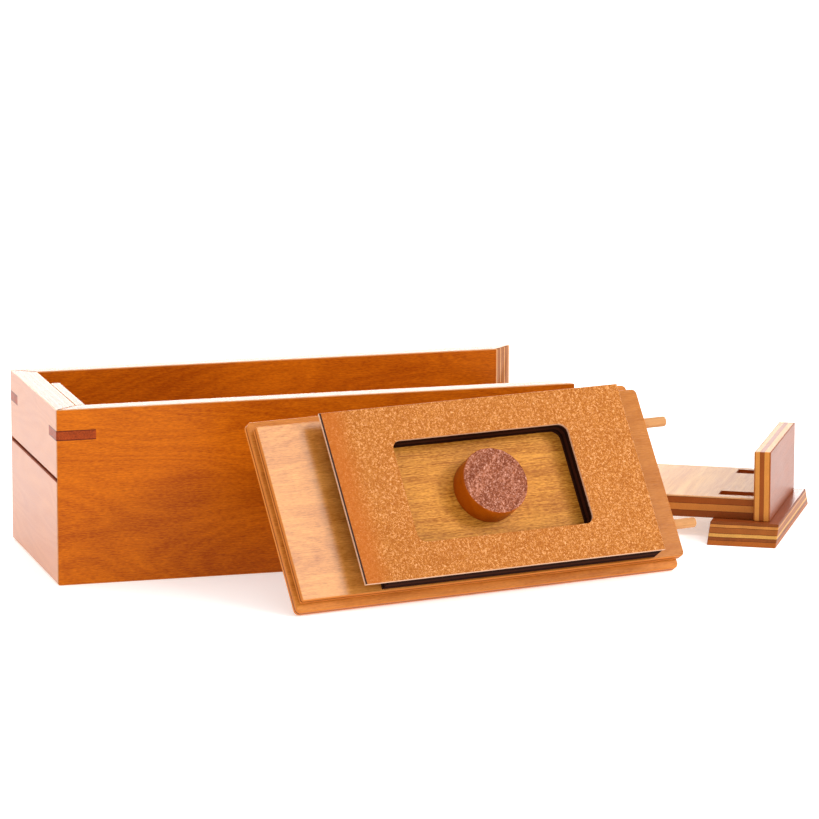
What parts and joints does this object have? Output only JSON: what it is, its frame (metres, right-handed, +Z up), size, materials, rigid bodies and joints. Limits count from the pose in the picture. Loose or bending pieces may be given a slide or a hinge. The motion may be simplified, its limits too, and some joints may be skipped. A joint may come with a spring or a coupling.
{
  "type": "wooden puzzle box",
  "caption": "Plywood puzzle box taken apart: open box with a hidden end drawer, a leaning lid with a sliding knob and lock pins, and a T-shaped key that shuts its open end.",
  "frame": {"origin": "middle of the box's underside, on the surface that everything stands on", "axes": "+X along the box towards its open end, +Y towards the back wall, +Z up; the lid lies in front (-Y) and the end key past the open end (+X)"},
  "size_m": [0.4897, 0.244, 0.104],
  "materials": {
    "stained_ply": "satin",
    "ply_edge": "satin",
    "lid_veneer": "satin",
    "frame_core": "matte",
    "frame_face": "satin",
    "knob_wood": "satin",
    "dowel": "matte",
    "tongue_wood": "matte",
    "drawer_ply": "matte",
    "corner_key": "satin"
  },
  "bodies": {
    "box": {"front_wall": "stained_ply", "back_wall": "stained_ply", "left_upper_end": "stained_ply", "left_inner_block": "ply_edge", "right_lower_end": "stained_ply", "bottom_board": "drawer_ply", "partition_board": "drawer_ply", "corner_key_left_front": "corner_key", "corner_key_left_back": "corner_key", "corner_key_right_front": "corner_key", "corner_key_right_back": "corner_key"},
    "drawer": {"drawer_front": "stained_ply", "drawer_side_front": "drawer_ply", "drawer_side_back": "drawer_ply", "drawer_rear": "drawer_ply", "drawer_base": "drawer_ply"},
    "lid": {"lid_lower_board": "lid_veneer", "lid_upper_board": "lid_veneer", "frame_core_lower": "frame_core", "frame_core_upper": "frame_core", "frame_face": "frame_face"},
    "shuttle": {"shuttle_board": "lid_veneer", "knob": "knob_wood", "knob_dowel": "dowel", "lock_pin_front": "dowel", "lock_pin_back": "dowel"},
    "end_key": {"key_end_panel": "ply_edge", "key_shelf": "ply_edge", "key_tongue": "tongue_wood"}
  },
  "joints": [
    {"name": "drawer_slide", "type": "slide", "parent": "box", "child": "drawer", "axis": [-1, 0, 0], "range_m": [0, 0.2]},
    {"name": "lid_lift", "type": "slide", "parent": "box", "child": "lid", "axis": [0, 0, 1], "range_m": [0, 0.12]},
    {"name": "shuttle_slide", "type": "slide", "parent": "lid", "child": "shuttle", "axis": [0.9779, 0.2089, 0], "range_m": [-0.014, 0.015]},
    {"name": "key_lift", "type": "slide", "parent": "box", "child": "end_key", "axis": [0, 0, 1], "range_m": [0, 0.1]}
  ]
}
